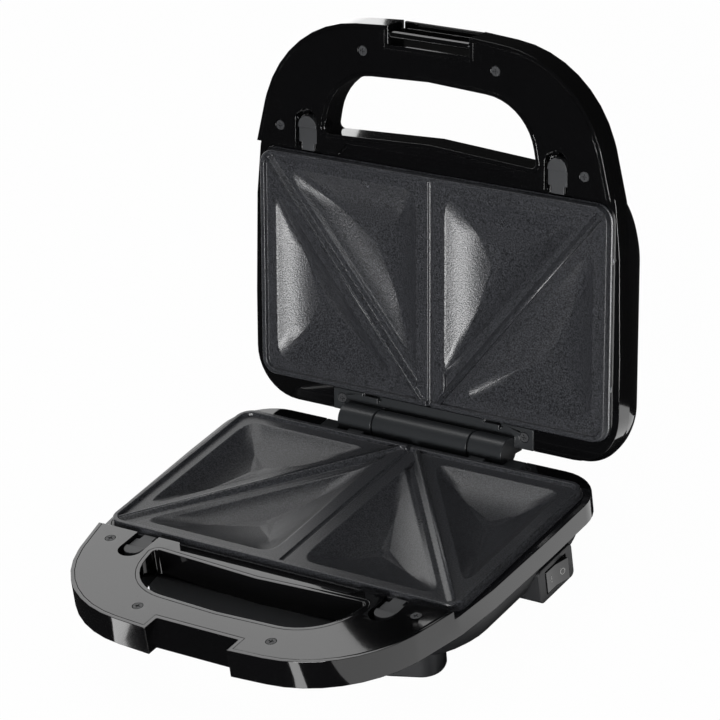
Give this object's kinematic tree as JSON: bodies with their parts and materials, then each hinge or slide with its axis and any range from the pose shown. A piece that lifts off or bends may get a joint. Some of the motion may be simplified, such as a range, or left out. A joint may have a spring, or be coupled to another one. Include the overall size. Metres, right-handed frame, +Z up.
{
  "type": "sandwich toaster",
  "caption": "Countertop sandwich toaster, lid open on a rear hinge, with ribbed triangular-pocket plates, loop handles, release buttons and a side rocker switch.",
  "frame": {"origin": "on the ground, under the middle of the lower plate", "axes": "+Z up, handles towards -Y, hinge axis along X"},
  "size_m": [0.238, 0.2928, 0.2713],
  "materials": {
    "gloss_black": "high gloss black moulding",
    "matte_black": "fine textured dark grey moulding",
    "satin_grey": "satin grey moulding",
    "nonstick": "die-cast aluminium with dark satin non-stick coating",
    "steel": "plain steel",
    "element_steel": "heat-tinted tube sheath",
    "rubber": "black rubber",
    "ivory": "ivory insulating moulding",
    "phenolic": "brown phenolic moulding",
    "lead_cover": "brown silicone lead covering"
  },
  "bodies": {
    "base": {"base_frame": "gloss_black", "base_bowl": "matte_black", "lower_handle_cover": "gloss_black", "lower_cover_screws": "gloss_black", "lower_plate": "nonstick", "lower_reflector": "steel", "lower_frame_screws": "steel", "lower_heating_element": "element_steel", "lower_element_clips": "steel", "lower_left_spring": "steel", "lower_right_spring": "steel", "hinge_block": "satin_grey", "hinge_pin": "steel", "front_feet": "matte_black", "rear_feet": "matte_black", "foot_pads": "rubber", "switch_bezel": "matte_black", "thermostat": "phenolic", "thermal_fuse": "ivory", "terminal_block": "ivory", "internal_wiring": "lead_cover", "cord_bushing": "rubber"},
    "lid": {"upper_frame": "gloss_black", "lid_shell": "gloss_black", "upper_handle_cover": "gloss_black", "upper_cover_screws": "gloss_black", "upper_plate": "nonstick", "upper_reflector": "steel", "upper_frame_screws": "steel", "upper_heating_element": "element_steel", "upper_element_clips": "steel", "upper_left_spring": "steel", "upper_right_spring": "steel", "hinge_bracket": "satin_grey", "bracket_screws": "steel", "lid_clip_pin": "steel"},
    "lower_left_release": {"lower_left_release": "matte_black"},
    "lower_right_release": {"lower_right_release": "matte_black"},
    "upper_left_release": {"upper_left_release": "matte_black"},
    "upper_right_release": {"upper_right_release": "matte_black"},
    "rocker_switch": {"rocker_switch": "gloss_black"},
    "lid_clip": {"lid_clip": "matte_black"}
  },
  "joints": [
    {"name": "lid_hinge", "type": "hinge", "parent": "base", "child": "lid", "pos_m": [0, 0.0811, 0.0485], "axis": [1, 0, 0], "range_deg": [0, 101.5]},
    {"name": "lower_left_release_slide", "type": "slide", "parent": "base", "child": "lower_left_release", "axis": [0, -1, 0], "range_m": [0, 0.004], "stiffness_N_per_m": 400, "springref_m": -0.002, "deforming": ["lower_left_spring"]},
    {"name": "lower_right_release_slide", "type": "slide", "parent": "base", "child": "lower_right_release", "axis": [0, -1, 0], "range_m": [0, 0.004], "stiffness_N_per_m": 400, "springref_m": -0.002, "deforming": ["lower_right_spring"]},
    {"name": "upper_left_release_slide", "type": "slide", "parent": "lid", "child": "upper_left_release", "axis": [0, 0.1994, 0.9799], "range_m": [0, 0.004], "stiffness_N_per_m": 400, "springref_m": -0.002, "deforming": ["upper_left_spring"]},
    {"name": "upper_right_release_slide", "type": "slide", "parent": "lid", "child": "upper_right_release", "axis": [0, 0.1994, 0.9799], "range_m": [0, 0.004], "stiffness_N_per_m": 400, "springref_m": -0.002, "deforming": ["upper_right_spring"]},
    {"name": "rocker_tilt", "type": "hinge", "parent": "base", "child": "rocker_switch", "pos_m": [0.108, 0.026, 0.017], "axis": [0, 0, 1], "range_deg": [0, 16]},
    {"name": "clip_swing", "type": "hinge", "parent": "lid", "child": "lid_clip", "pos_m": [0, 0.1296, 0.26579], "axis": [1, 0, 0], "range_deg": [0, 153]}
  ]
}
